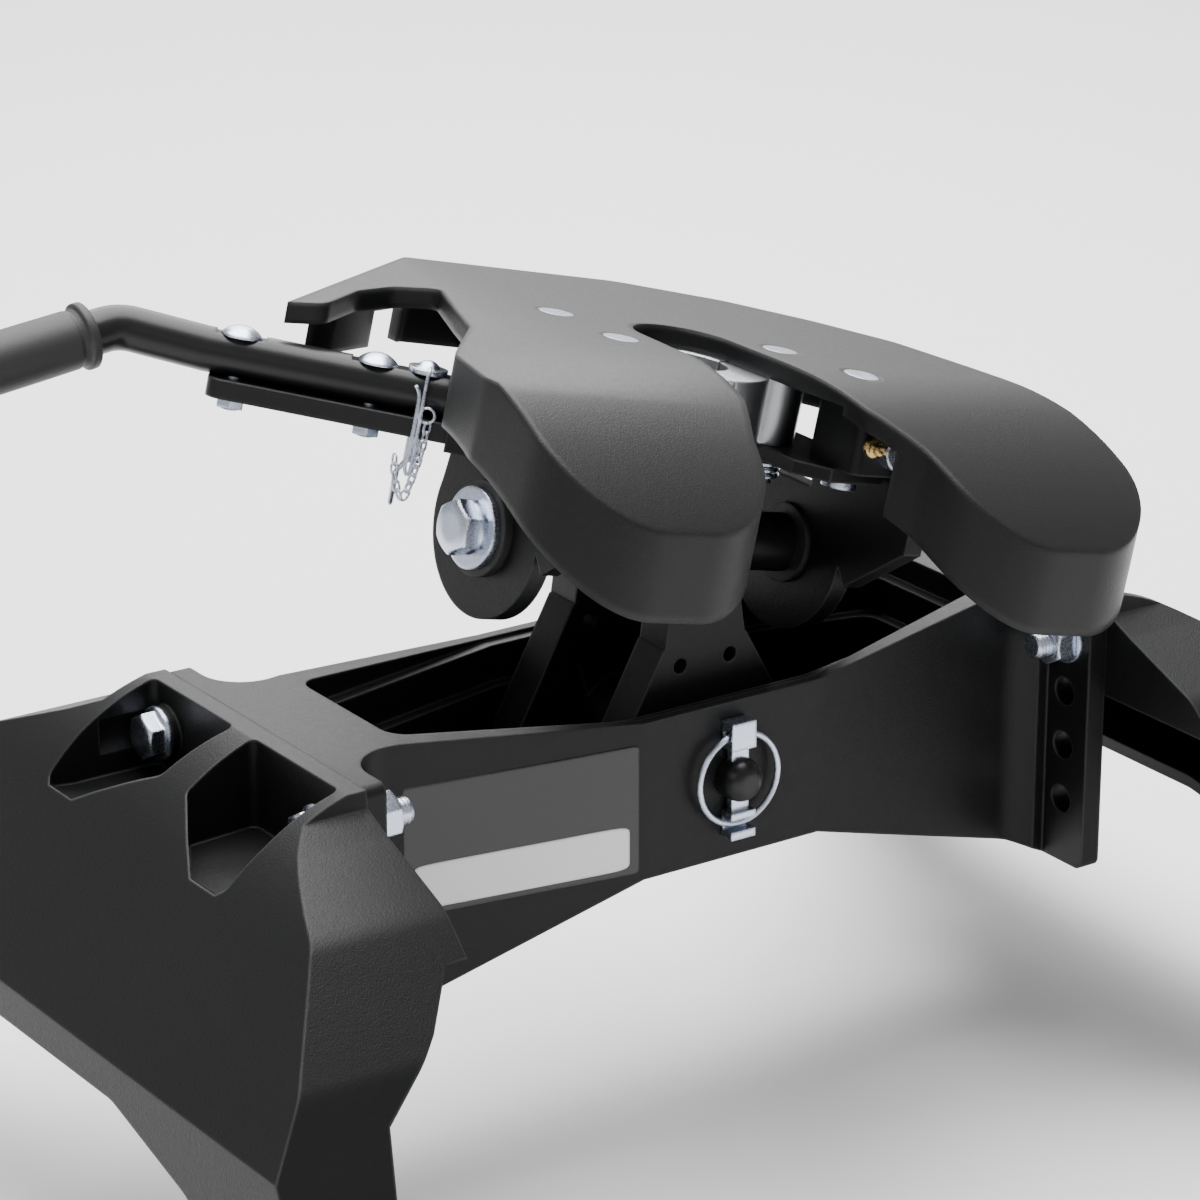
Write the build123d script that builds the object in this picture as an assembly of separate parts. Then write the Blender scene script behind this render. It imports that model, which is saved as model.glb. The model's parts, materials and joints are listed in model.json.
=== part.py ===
from build123d import *
import os
from math import cos, radians, sin, tan

# Fifth wheel hitch, millimetres. X is the driver's right, +Y is forward, Z is up.
# The origin is on the bed rails, midway between the four feet.

# ---- base: what bolts to the rails ---------------------------------------------------
foot_spread = 764.0        # foot bolt to foot bolt, side to side
rail_spacing = 560.0       # foot bolt to foot bolt, front to rear
flange_top = 282.0         # top of the beam and legs above the rails
beam_inner = 480.0         # between the beam's end flanges
flange_t = 12.7
flange_len = 211.0
flange_h = 168.5
beam_wall = 7.0
beam_floor = 12.0
beam_end_half = 55.0       # half width of the beam beside a flange
beam_mid_half = 84.0       # half width of the beam at its middle
beam_mid_span = 60.0       # half length of the straight middle
beam_sweep = 26.0          # concave curve from the beam's wall to its flange
beam_dip = 14.0            # how far the top edge dips at the middle
beam_arch = 61.5           # how far the bottom edge rises at the middle
hole_pitch = 33.9          # height steps
hole_count = 4
hole_first = 27.3          # top hole below the flange's top
hole_side = 84.6           # hole column from the middle, front and rear
channel_w = 31.0           # flat channel down a hole column, wide enough for a washer
channel_depth = 18.0
bolt_d = 15.88
bolt_play = 0.4            # radial clearance of a bolt in its hole
bolt_af = 23.8             # across flats, leg bolts and their nuts
leg_strip = 12.3           # width of the leg's flat top strip
leg_wall = 9.0
leg_boss = 17.0            # leg thickness under a bolt head
leg_joint = 60.0           # depth of the leg's face against the beam's flange
panel_arch = 7.0           # rise of the upper panel's curve
panel_break = 77.0         # top strip to the crease in the leg's panel, sideways
upper_slope = 34.0         # leg panel above the crease, degrees down
lower_slope = 51.0         # leg panel below the crease
foot_t = 12.0
foot_hole_r = 8.5
pocket_floor = 51.0        # leg pocket below the flange's top

# ---- pivots --------------------------------------------------------------------------
roll_height = 59.0         # roll axis above the flange's top
roll_rest = 13.5           # the head rests rolled this far, driver's side up
pin_drop = 58.0            # yoke pin below the flange's top
yoke_pin_d = 25.4
roll_pin_d = 25.4
race_od = 47.0
ball_od = 40.0
hub_od = 56.0
hub_half = 29.0            # half length of the rocker's hub
arm_d = 34.0
trunnion_d = 19.05
trunnion_af = 27.8
running = 0.05             # radial clearance of a running fit
gap = 0.3                  # clearance between faces that pass each other

# ---- head ----------------------------------------------------------------------------
plate_top = 115.0          # skid plate's top above the roll axis
plate_t = 12.0
skirt_depth = 48.0
skirt_t = 9.0
wing_out = 206.0           # outer side of a wing from the middle
wing_in = 76.0             # inner side of a wing from the middle
wing_back = 207.0          # rear end of a wing
wing_r = 56.0
droop_start = -50.0        # the wings start to droop here
droop_drop = 72.0          # drop at the wings' rear ends
throat_r = 31.0
fold_angle = 10.0          # fall of the plate left of the fold
ear_in = 100.0             # inner face of an ear from the middle
ear_t = 12.0
ear_r = 50.0
bushing_od = 46.0
sleeve_od = 30.0
washer_od = 46.0
washer_t = 4.0
bushing_lip = 6.0          # rubber standing out of the ear's face
king_pin_d = 50.8
jaw_gap = 0.8              # radial gap round the king pin
jaw_out = 50.0
jaw_t = 39.4
jaw_pivot = (56.0, -14.0)
jaw_pin_d = 20.0
jaw_lug_r = 18.0
shelf_t = 8.0              # jaw shelf under the jaws

# ---- handle, in the head's frame --------------------------------------------------------
lock_at = (-138.0, 44.0)   # lock pin
handle_turn = 143.0        # the handle's direction, degrees from +X
tube_d = 25.4
bar_w = 30.0
bar_t = 11.0
bar_out = 118.0            # outer end of the bar from the lock pin
bar_in = 78.0              # inner end of the bar from the lock pin
grip_d = 33.0
grip_len = 118.0
carriage_at = (28.0, 104.0)
carriage_d = 9.5
lock_pin_d = 9.5

# ---- worked out -----------------------------------------------------------------------
roll_z = flange_top + roll_height
joint_x = beam_inner / 2 + flange_t
plate_low = plate_top - plate_t
jaw_low = plate_low - gap - jaw_t
shelf_top = jaw_low - gap
shelf_low = shelf_top - shelf_t
out_x, out_y = cos(radians(handle_turn)), sin(radians(handle_turn))
bar_top = shelf_low - 3
bar_low = bar_top - bar_t
tube_z = bar_top + tube_d / 2
bolt_z = flange_top - hole_first
pin_z = flange_top - pin_drop
HEAD = Location((0, 0, roll_z), (0, roll_rest, 0))

os.makedirs("parts", exist_ok=True)


def save(name, *solids):
    found = []
    for item in solids:
        found += item.solids()
    shape = found[0] if len(found) == 1 else Compound(children=found)
    shape.label = name
    export_step(shape, f"parts/{name}.step")


def rod(start, end, d):
    """A round bar from one point to another."""
    start, end = Vector(*start), Vector(*end)
    axis = end - start
    return extrude(Plane(start, z_dir=axis) * Circle(d / 2), axis.length)


def tube(start, end, od, bore):
    return rod(start, end, od) - rod(start, end, bore)


def hexagon(start, end, flats):
    start, end = Vector(*start), Vector(*end)
    axis = end - start
    return extrude(Plane(start, z_dir=axis) * RegularPolygon(flats / 2, 6, major_radius=False), axis.length)


def prism_xz(points, y0, y1):
    """A solid with this outline in X and Z, from y0 to y1."""
    face = Plane.XZ * make_face(Polyline(*[(x, z) for x, z in points], close=True))
    return Pos(0, y1, 0) * extrude(face, y1 - y0)


def prism_yz(points, x0, x1):
    face = Plane.YZ * make_face(Polyline(*[(y, z) for y, z in points], close=True))
    return Pos(x0, 0, 0) * extrude(face, x1 - x0)


def box(x0, x1, y0, y1, z0, z1):
    size = (x1 - x0, y1 - y0, z1 - z0)
    return Pos((x0 + x1) / 2, (y0 + y1) / 2, (z0 + z1) / 2) * Box(*size)


def both_sides(solid):
    return [solid, mirror(solid, Plane.YZ)]


def place(solids):
    """From the head's own level frame to its resting place."""
    return [HEAD * solid for solid in solids]


# ---- centre beam ------------------------------------------------------------------------
def beam_plan(inset):
    """Half-width of the bow-tie beam, inset from its outer walls, as a face."""
    end_x = beam_inner / 2 - 32 - inset
    points = [(-end_x, -beam_end_half + inset), (-beam_mid_span, -beam_mid_half + inset),
              (beam_mid_span, -beam_mid_half + inset), (end_x, -beam_end_half + inset)]
    points += [(x, -y) for x, y in reversed(points)]
    return make_face(Polyline(*points, close=True))


def beam_side(points_z):
    top_end, top_mid, low_end, low_mid = points_z
    half = beam_inner / 2
    shoulder = half - 35
    low_shoulder = half - 22
    return [(-half, top_end), (-shoulder, top_end), (-beam_mid_span, top_mid),
            (beam_mid_span, top_mid), (shoulder, top_end), (half, top_end),
            (half, low_end), (low_shoulder, low_end + 10), (beam_mid_span, low_mid),
            (-beam_mid_span, low_mid), (-low_shoulder, low_end + 10), (-half, low_end)]


def make_beam():
    low = flange_top - flange_h
    mid_low = low + beam_arch
    half = beam_inner / 2
    # walls sweep out to the flanges through a concave curve
    outline = [(-half - 1, -flange_len / 2), (-half, -flange_len / 2), (-half, -beam_end_half - 2),
               (-beam_mid_span, -beam_mid_half), (beam_mid_span, -beam_mid_half),
               (half, -beam_end_half - 2), (half, -flange_len / 2), (half + 1, -flange_len / 2)]
    outline += [(x, -y) for x, y in reversed(outline)]
    plan = make_face(Polyline(*outline, close=True))
    bends = [v for v in plan.vertices() if abs(abs(v.Y) - beam_end_half - 2) < 0.1]
    plan = fillet(bends, beam_sweep)
    bends = [v for v in plan.vertices() if abs(abs(v.X) - beam_mid_span) < 0.1]
    plan = fillet(bends, 60)
    body = Pos(0, 0, low) * extrude(plan, flange_h + 1)
    body &= prism_xz(beam_side((flange_top, flange_top - beam_dip, low, mid_low)), -200, 200)
    floor_side = beam_side((flange_top + 50, flange_top + 50, low + beam_floor + 14,
                            mid_low + beam_floor))
    # the pocket steps inward as it goes down
    for inset, depth in ((beam_wall, 16), (beam_wall + 8, 38), (beam_wall + 15, flange_h)):
        face = fillet(beam_plan(inset).vertices(), 14)
        step = Pos(0, 0, flange_top - depth) * extrude(face, flange_h + 60)
        body -= step & prism_xz(floor_side, -200, 200)
    for side in (-1, 1):
        x0 = half if side > 0 else -half - flange_t
        plate = box(x0, x0 + flange_t, -flange_len / 2, flange_len / 2, low, flange_top)
        plate = fillet(plate.edges().filter_by(Axis.X), 6)
        body += plate
        for end in (-1, 1):
            for step in range(hole_count):
                z = bolt_z - step * hole_pitch
                y = end * hole_side
                body -= rod((side * (half - 60), y, z), (side * (half + 30), y, z), bolt_d + 2 * bolt_play)
            # one flat channel seats the washers where the curved wall would meet them
            y = end * hole_side
            channel_end = side * (half - channel_depth)
            body -= rod((channel_end, y, bolt_z), (side * half, y, bolt_z), channel_w)
            body -= box(min(channel_end, side * half), max(channel_end, side * half),
                        y - channel_w / 2, y + channel_w / 2, low - 1, bolt_z)
    reach = beam_mid_half + 10
    body -= rod((0, -reach, pin_z), (0, reach, pin_z), yoke_pin_d + 2 * running)
    return body


# ---- legs ---------------------------------------------------------------------------------
def leg_lines(inset):
    """Panel corners of a leg, inset from its outer skin, from the top strip to the foot."""
    strip_x = joint_x + leg_strip
    crease_x = strip_x + panel_break
    crease_z = flange_top - panel_break * tan(radians(upper_slope))
    heel_x = crease_x + 58
    heel_z = crease_z - 58 * tan(radians(lower_slope))
    foot_x = heel_x + 8
    a = inset / cos(radians(upper_slope))
    b = inset / sin(radians(lower_slope))
    return [(strip_x - a, flange_top), (crease_x - (a + b) / 2, crease_z - inset / 4),
            (heel_x - inset, heel_z - inset / 3), (foot_x - inset, 0)]


def leg_side(inset):
    """The leg seen from outside: a wide skirt with two arms running down to the feet."""
    half_top = flange_len / 2
    reach = rail_spacing / 2
    outer = [(half_top, flange_top + 5), (half_top + 2, flange_top - 10), (125, flange_top - 18),
             (181, flange_top - 40), (236, flange_top - 92), (reach + 16, flange_top - 190),
             (reach + 34, 0)]
    arch = [(reach - 34, 0), (reach - 44, 66), (170, 116), (90, 138)]
    points = outer + arch
    points += [(-y, z) for y, z in reversed(points)]
    face = make_face(Polyline(*points, close=True))
    if inset:
        face = offset(face, -inset, kind=Kind.INTERSECTION)
    soft = [v for v in face.vertices() if v.Y > 40 and abs(v.X) < reach + 30]
    return fillet([v for v in soft if abs(v.X) > half_top + 12 or v.Y < 160], 36)


def make_leg():
    strip, crease, heel, foot = leg_lines(0)
    low = flange_top - flange_h
    # the panel arches a little between the top strip and the crease
    over = (strip[0] + panel_break * 0.55, (flange_top + crease[1]) / 2 + panel_arch)
    skin = [Line((joint_x, flange_top), strip), ThreePointArc(strip, over, crease)]
    under = [(foot[0] - 58, 0), (foot[0] - 60, 100), (crease[0] - 12, crease[1] - 62),
             (strip[0] + 24, flange_top - leg_joint - 23), (joint_x + leg_strip + 1, flange_top - leg_joint),
             (joint_x, flange_top - leg_joint), (joint_x, flange_top)]
    skin += Polyline(crease, heel, foot, *under).edges()
    body = Pos(0, rail_spacing, 0) * extrude(Plane.XZ * make_face(skin), 2 * rail_spacing)
    body &= extrude(Plane.YZ * leg_side(0), 600)
    roof = flange_top - pocket_floor - 13
    in_strip, in_crease, in_heel, in_foot = leg_lines(leg_wall)
    slope = (in_heel[0] - in_crease[0]) / (in_crease[1] - in_heel[1])
    roof_x = in_crease[0] + (in_crease[1] - roof) * slope
    hollow = [(joint_x + 10, roof), (roof_x, roof), in_heel, (in_foot[0], foot_t),
              (joint_x - 50, foot_t), (joint_x - 50, low - 30), (joint_x + 10, low - 30)]
    cavity = prism_xz(hollow, -rail_spacing, rail_spacing)
    cavity &= extrude(Plane.YZ * leg_side(leg_wall), 600)
    foot_block = box(joint_x, joint_x + 400, -rail_spacing, rail_spacing, -1, foot_t)
    body -= cavity - foot_block
    # two scooped pockets between three arch-topped ribs, open at the panel
    x0 = joint_x + leg_strip - 1
    for end in (-1, 1):
        plan = [(x0, 10), (x0, 98), (x0 + 48, 98), (x0 + 68, 96), (x0 + 76, 84), (x0 + 72, 65),
                (x0 + 60, 42), (x0 + 44, 14)]
        face = fillet(make_face(Polyline(*plan, close=True)).vertices(), 5)
        scoop = Pos(0, 0, flange_top - 90) * extrude(face, 100)
        bed = flange_top - pocket_floor
        floor = [(x0 - 5, flange_top + 10), (x0 - 5, bed), (x0 + 52, bed), (x0 + 66, bed + 2),
                 (x0 + 74, bed + 8), (x0 + 80, bed + 20), (x0 + 90, flange_top + 10)]
        scoop &= prism_xz(floor, 0, 120)
        scoop -= rod((joint_x, hole_side, bolt_z), (joint_x + leg_boss, hole_side, bolt_z), 30)
        scoop = scoop if end > 0 else mirror(scoop, Plane.XZ)
        body -= scoop
        y = end * hole_side
        body -= rod((joint_x - 5, y, bolt_z), (joint_x + 60, y, bolt_z), bolt_d + 2 * bolt_play)
        body -= rod((joint_x + leg_boss, y, bolt_z), (joint_x + leg_boss + 30, y, bolt_z), 34)
        centre = end * rail_spacing / 2
        body -= rod((foot_spread / 2, centre, -5), (foot_spread / 2, centre, 60), foot_hole_r * 2)
    return body


def make_leg_fasteners():
    bolts, nuts, washers = [], [], []
    head_x = joint_x + leg_boss
    nut_x = beam_inner / 2
    for end in (-1, 1):
        y = end * hole_side
        bolt = rod((nut_x - 26, y, bolt_z), (head_x, y, bolt_z), bolt_d)
        bolt += rod((head_x, y, bolt_z), (head_x + 2, y, bolt_z), 31)
        bolt += hexagon((head_x + 2, y, bolt_z), (head_x + 12, y, bolt_z), bolt_af)
        bolts += both_sides(bolt)
        washer = tube((nut_x - 2.5, y, bolt_z), (nut_x, y, bolt_z), 30, bolt_d + 2 * bolt_play)
        washers += both_sides(washer)
        nut = hexagon((nut_x - 16.5, y, bolt_z), (nut_x - 2.5, y, bolt_z), bolt_af)
        nut -= rod((nut_x - 20, y, bolt_z), (nut_x, y, bolt_z), bolt_d)
        nuts += both_sides(nut)
    return bolts, nuts, washers


# ---- yoke and its pins --------------------------------------------------------------------
frame_in = hub_half + 3
frame_out = beam_mid_half - beam_wall - 15 - 3
floor_z = flange_top - flange_h + beam_arch + beam_floor


def make_yoke():
    """Front and rear spider frames on a cross tube, with splayed legs on the beam's floor."""
    body = rod((0, -frame_out, pin_z), (0, frame_out, pin_z), 46)
    for end in (-1, 1):
        y0, y1 = sorted((end * frame_in, end * (frame_out - 2)))
        boss = rod((0, y0, roll_z), (0, y1, roll_z), 60)
        web = prism_xz([(-22, roll_z - 10), (22, roll_z - 10), (30, flange_top - 5), (15, pin_z),
                        (-15, pin_z), (-30, flange_top - 5)], y0, y1)
        body += boss + web
        for side in (-1, 1):
            leg = prism_xz([(side * 12, flange_top + 6), (side * 28, flange_top + 14),
                            (side * 66, floor_z + 40), (side * 72, floor_z), (side * 50, floor_z),
                            (side * 42, floor_z + 34)], y0, y1)
            body += leg
        for side in (-1, 1):
            body -= rod((side * 17, y0 - 5, flange_top + 2), (side * 17, y1 + 5, flange_top + 2), 9)
    for side in (-1, 1):
        body += rod((side * 58, -frame_in, floor_z + 14), (side * 58, frame_in, floor_z + 14), 20)
    body -= rod((0, -frame_out - 5, pin_z), (0, frame_out + 5, pin_z), yoke_pin_d + 2 * running)
    body -= rod((0, -frame_out - 5, roll_z), (0, frame_out + 5, roll_z), roll_pin_d)
    return body


def make_yoke_pin():
    """Rear yoke pin: a domed end outside the beam, with a slot for its keeper."""
    out = beam_mid_half + 17
    pin = rod((0, -out, pin_z), (0, -12, pin_z), yoke_pin_d)
    pin = fillet(pin.edges().group_by(Axis.Y)[0], 9)
    pin -= box(-5.5, 5.5, keeper_y - 1.5, keeper_y + 3.5, pin_z - 30, pin_z + 30)
    return pin


ring_r = 26.7
ring_wire = 3.6
keeper_y = -beam_mid_half - 6


def make_keeper():
    """Flat keeper through the pin's slot, with a square tab above and below."""
    y0, y1 = keeper_y - 1.5, keeper_y + 3.5
    keeper = box(-5.5, 5.5, y0, y1, pin_z - 34, pin_z + 34)
    for side in (-1, 1):
        z = pin_z + side * ring_r
        keeper += box(-8, 8, keeper_y - 5, keeper_y + 5.5, z - 8, z + 8)
    # the ring hinges in a round hole through the upper tab and swings out of the lower one
    clear = ring_wire / 2 + 1.5
    hinge_z = pin_z + ring_r
    keeper -= rod((-20, keeper_y, hinge_z), (20, keeper_y, hinge_z), 2 * clear)
    low = pin_z - ring_r - clear
    keeper -= box(-20, 20, keeper_y - 10, keeper_y + clear, low, low + 2 * clear + 0.6)
    return keeper


def make_ring():
    return Pos(0, keeper_y, pin_z) * Rot(90, 0, 0) * Torus(ring_r, ring_wire / 2)


# ---- rocker: rolls on the yoke, and the head pitches on its arms ------------------------------
def make_rocker():
    body = rod((0, -hub_half, 0), (0, hub_half, 0), hub_od)
    body += rod((-ear_in + 4, 0, 0), (ear_in - 4, 0, 0), arm_d)
    body -= rod((0, -hub_half - 5, 0), (0, hub_half + 5, 0), race_od)
    for side in (-1, 1):
        body -= rod((side * 60, 0, 0), (side * 110, 0, 0), trunnion_d)
    return body


def make_trunnions():
    bolts, washers, sleeves, rubbers = [], [], [], []
    sleeve_in = ear_in - 4
    sleeve_out = ear_in + ear_t + bushing_lip
    head_x = sleeve_out + washer_t
    bolt = rod((62, 0, 0), (head_x, 0, 0), trunnion_d)
    bolt += rod((head_x, 0, 0), (head_x + 1.5, 0, 0), 30)
    bolt += hexagon((head_x + 1.5, 0, 0), (head_x + 13, 0, 0), trunnion_af)
    bolts += both_sides(bolt)
    washers += both_sides(tube((sleeve_out, 0, 0), (head_x, 0, 0), washer_od, trunnion_d + 0.6))
    sleeves += both_sides(tube((sleeve_in, 0, 0), (sleeve_out, 0, 0), sleeve_od, trunnion_d + 0.6))
    rubber = tube((ear_in - 3, 0, 0), (sleeve_out - gap, 0, 0), bushing_od, sleeve_od + 2 * running)
    rubber += tube((ear_in + ear_t, 0, 0), (sleeve_out - gap, 0, 0), 54, bushing_od - 4)
    rubbers += both_sides(rubber)
    return bolts, washers, sleeves, rubbers


def make_roll_pin():
    pin = rod((0, -frame_out - 6, 0), (0, frame_out + 6, 0), roll_pin_d)
    ball = Sphere(ball_od / 2) & box(-30, 30, -hub_half + 9, hub_half - 9, -30, 30)
    ball -= rod((0, -40, 0), (0, 40, 0), roll_pin_d)
    race = tube((0, -hub_half + 4, 0), (0, hub_half - 4, 0), race_od, 34)
    race -= Sphere(ball_od / 2 + running)
    rings = []
    for end in (-1, 1):
        y0, y1 = sorted((end * frame_out, end * (frame_out + 3)))
        rings.append(tube((0, y0, 0), (0, y1, 0), 38, roll_pin_d))
        y0, y1 = sorted((end * (hub_half - 8.7), end * (frame_in)))
        rings.append(tube((0, y0, 0), (0, y1, 0), 33, roll_pin_d))
    return pin, ball, race, rings


# ---- head -------------------------------------------------------------------------------------
def near(face, points):
    """The face's corners that lie at these points."""
    return [v for v in face.vertices()
            if any(abs(v.X - x) + abs(v.Y - y) < 0.5 for x, y in points)]


fold_front = (-80.0, 172.0)
fold_back = (-150.0, -100.0)


def head_plan():
    lobe = [(wing_out, -wing_back), (wing_in, -wing_back)]
    front = [(58, 153), (115, 120), (152, 80), (180, 35), (191, -20), (wing_out - 3, -100)]
    throat = [(60, -150), (42, -113), (throat_r + 3, -60), (throat_r, 0)]
    far_left = [(-x, y) for x, y in reversed(lobe)]
    side = [(-wing_out + 3, -100), (-188, -48)]
    notch = [(-146, 2), (-130, 40), (-108, 90), (-128, 107), (-150, 107), (-184, 86)]
    points = [fold_front] + front + lobe + throat + [(-x, y) for x, y in reversed(throat)]
    points += far_left + side + notch + [(-200, 100)]
    face = make_face(Polyline(*points, close=True))
    face = fillet(near(face, lobe + far_left), wing_r)
    face = fillet(near(face, front[:5]), 40)
    face = fillet(near(face, [front[5], side[0], side[1], (60, -150), (-60, -150)]), 25)
    face = fillet(near(face, notch), 9)
    face = fillet(near(face, [fold_front]), 12)
    return face - Circle(throat_r)


def roof(z):
    """Everything under the skid plate's curved top, as it would be with its flat at height z."""
    length = wing_back + 13 + droop_start
    drop = droop_drop
    r = (length * length + drop * drop) / (2 * drop)
    bend = Vector(droop_start, z)
    half = 0.5 * (Vector(droop_start - length, z - drop) - bend)
    sag = r - (r * r - half.length ** 2) ** 0.5
    mid = bend + half + Vector(-half.Y, half.X).normalized() * sag * (-1)
    tail = (droop_start - length, z - drop)
    top = [Line((240, z), (droop_start, z)), ThreePointArc((droop_start, z), (mid.X, mid.Y), tail)]
    base = [Line(tail, (tail[0], -300)), Line((tail[0], -300), (240, -300)), Line((240, -300), (240, z))]
    return Pos(-260, 0, 0) * extrude(Plane.YZ * make_face(top + base), 520)


def above_fold(z):
    """Everything above the plane that falls away to the left of the fold."""
    along = Vector(fold_front[0] - fold_back[0], fold_front[1] - fold_back[1], 0).normalized()
    left = Vector(-along.Y, along.X, 0)
    normal = left * sin(radians(fold_angle)) + Vector(0, 0, cos(radians(fold_angle)))
    plane = Plane((*fold_front, z), x_dir=along, z_dir=normal)
    return plane * Pos(0, 0, 150) * Box(900, 900, 300)


def make_head_space():
    """The room under the skid plate."""
    return roof(plate_low) - above_fold(plate_low)


spacer_at = [(-60.0, 44.0), (76.0, -64.0)]


def make_skid_plate(space):
    plan = head_plan()
    body = Pos(0, 0, -60) * extrude(plan, 300)
    body &= roof(plate_top) - roof(plate_top - skirt_depth)
    body -= above_fold(plate_top)
    inner = offset(plan, -skirt_t, kind=Kind.INTERSECTION)
    body -= (Pos(0, 0, -60) * extrude(inner, 300)) & space
    body -= box(-72, 72, -134, 40, -50, plate_top + 20) & space
    # the jaws swing out under the plate where it starts to droop
    body -= box(-72, 72, -98, 40, 50, plate_low)
    body -= box(-240, -96, -44, 116, -50, plate_top + 20) & space
    body -= box(-114, -82, 110, 200, -50, plate_low - 15)
    for x, y in [jaw_pivot, (-jaw_pivot[0], jaw_pivot[1])] + spacer_at:
        body -= rod((x, y, 0), (x, y, 200), jaw_pin_d)
    return body


def make_ear(side, space):
    outline = [(-104, plate_top), (-12, plate_top), (-12, bar_low - 3), (ear_r - 6, bar_low - 3),
               (ear_r, 0), (-ear_r, 0), (-ear_r - 8, -10), (-104, 22)]
    x0, x1 = sorted((side * ear_in, side * (ear_in + ear_t)))
    body = prism_yz(outline, x0, x1) & space
    body += rod((x0, 0, 0), (x1, 0, 0), ear_r * 2)
    # the handle bar passes over the front of the ear
    body -= box(x0 - 1, x1 + 1, -12, ear_r + 5, bar_low - 4, plate_top)
    body -= rod((x0 - 5, 0, 0), (x1 + 5, 0, 0), bushing_od)
    return body


def make_shelf():
    outline = [(-ear_in, -60), (-44, -60), (-44, 0), (44, 0), (44, -60), (58, -78), (96, -78),
               (ear_in, -60), (ear_in, 60), (60, 96), (-70, 96), (-92, 60), (-ear_in, 44)]
    face = make_face(Polyline(*outline, close=True)) - Circle(42)
    body = Pos(0, 0, shelf_low) * extrude(face, shelf_t)
    for x, y in [jaw_pivot, (-jaw_pivot[0], jaw_pivot[1])] + spacer_at:
        body -= rod((x, y, 0), (x, y, 200), jaw_pin_d)
    return body


def make_seat():
    ring = Circle(43) - Circle(king_pin_d / 2 + jaw_gap)
    ring &= Pos(0, 51) * Rectangle(120, 100)
    return Pos(0, 0, shelf_top) * extrude(ring, plate_low - shelf_top)


def make_jaw():
    x, y = jaw_pivot
    ring = Circle(jaw_out) - Circle(king_pin_d / 2 + jaw_gap)
    ring &= Pos(50.4, -51) * Rectangle(100, 100)
    ring += Pos(x, y) * Circle(jaw_lug_r)
    ring -= Circle(king_pin_d / 2 + jaw_gap)
    ring -= Pos(x, y) * Circle(jaw_pin_d / 2 + running)
    return Pos(0, 0, jaw_low) * extrude(ring, jaw_t)


def make_jaw_pins():
    x, y = jaw_pivot
    pin = rod((x, y, shelf_low - 16), (x, y, plate_top), jaw_pin_d)
    return both_sides(pin)


def make_spacers():
    pins = []
    for x, y in spacer_at:
        pin = rod((x, y, shelf_low - 5), (x, y, plate_top), jaw_pin_d)
        pins.append(pin & roof(plate_top))
    return pins


def make_springs():
    """A torsion spring round the foot of each jaw pin."""
    x, y = jaw_pivot
    path = Helix(pitch=3.6, height=10.8, radius=jaw_pin_d / 2 + 2.2)
    start = Plane(path @ 0, z_dir=path % 0)
    coil = sweep(start * Circle(1.5), path=path)
    coil = Pos(x, y, shelf_low - 13.5) * coil
    return both_sides(coil)


def make_pivot_block():
    """Block that carries the grease fitting beside the throat, under the far wing."""
    x, y = spacer_at[1]
    face = fillet(Rectangle(32, 44).vertices(), 6)
    body = Pos(x + 1, y - 6, shelf_top) * extrude(face, 34)
    body -= rod((x, y, 0), (x, y, 200), jaw_pin_d)
    for bore, px in ((5.0, x - 6), (9.0, x + 11)):
        body -= rod((px, y - 35, shelf_top + 17), (px, y - 18, shelf_top + 17), bore)
    return body


def make_fitting():
    x, y = spacer_at[1]
    px, py, pz = x - 6, y - 28, shelf_top + 17
    fitting = rod((px, py + 8, pz), (px, py - 8, pz), 5) + hexagon((px, py, pz), (px, py - 4, pz), 10)
    fitting += rod((px, py - 6, pz), (px, py - 10, pz), 6.5)
    px = x + 11
    cap = rod((px, py + 8, pz), (px, py - 2, pz), 9) + rod((px, py, pz), (px, py - 9, pz), 24)
    cap -= box(px - 1.5, px + 1.5, py - 10, py - 7, pz - 8, pz + 8)
    return fitting, cap


# ---- handle -------------------------------------------------------------------------------------
LINE = Plane((*lock_at, 0), x_dir=(out_x, out_y, 0), z_dir=(0, 0, 1))


def on_line(s, z, t=0.0):
    """A point s along the handle from the lock pin, t to its side, at height z."""
    return (lock_at[0] + s * out_x - t * out_y, lock_at[1] + s * out_y + t * out_x, z)


def bar_box(s0, s1, half, z0, z1):
    return LINE * box(s0, s1, -half, half, z0, z1)


grip_dir = Vector(-0.93, 0.05, -0.36).normalized()


def handle_points():
    start = Vector(*on_line(-14, tube_z))
    bend = Vector(*on_line(122, tube_z))
    crest = Vector(*on_line(172, tube_z + 3))
    return start, bend, crest, crest + grip_dir * (grip_len + 14)


def make_handle():
    start, bend, crest, end = handle_points()
    path = FilletPolyline(start, bend, crest, end, radius=24)
    profile = Plane(start, z_dir=bend - start)
    body = sweep(profile * (Circle(tube_d / 2) - Circle(tube_d / 2 - 3)), path=path)
    for s in carriage_at:
        body -= bar_box(s - 14, s + 14, 30, tube_z + tube_d / 2 - 2, tube_z + 40)
        body -= rod(on_line(s, 0), on_line(s, 150), carriage_d + 0.6)
    body -= rod(on_line(0, 0), on_line(0, 150), lock_pin_d + 2 * running)
    body -= bar_box(-20, 14, 30, tube_z + tube_d / 2 - 2, tube_z + 40)
    bar = bar_box(-bar_in, bar_out, bar_w / 2, bar_low, bar_top)
    bar = fillet(bar.edges().filter_by(Axis.Z), 9)
    for s in carriage_at:
        bar -= rod(on_line(s, 0), on_line(s, 150), carriage_d + 0.6)
    bar -= rod(on_line(0, 0), on_line(0, 150), lock_pin_d + 2 * running)
    g0 = end - grip_dir * (grip_len - 4)
    grip = rod(g0, end + grip_dir * 4, grip_d)
    for at in (g0, end - grip_dir * 2):
        grip += rod(at, at + grip_dir * 6, grip_d + 5)
    grip -= rod(g0 - grip_dir, end, tube_d)
    return body, bar, grip


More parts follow.
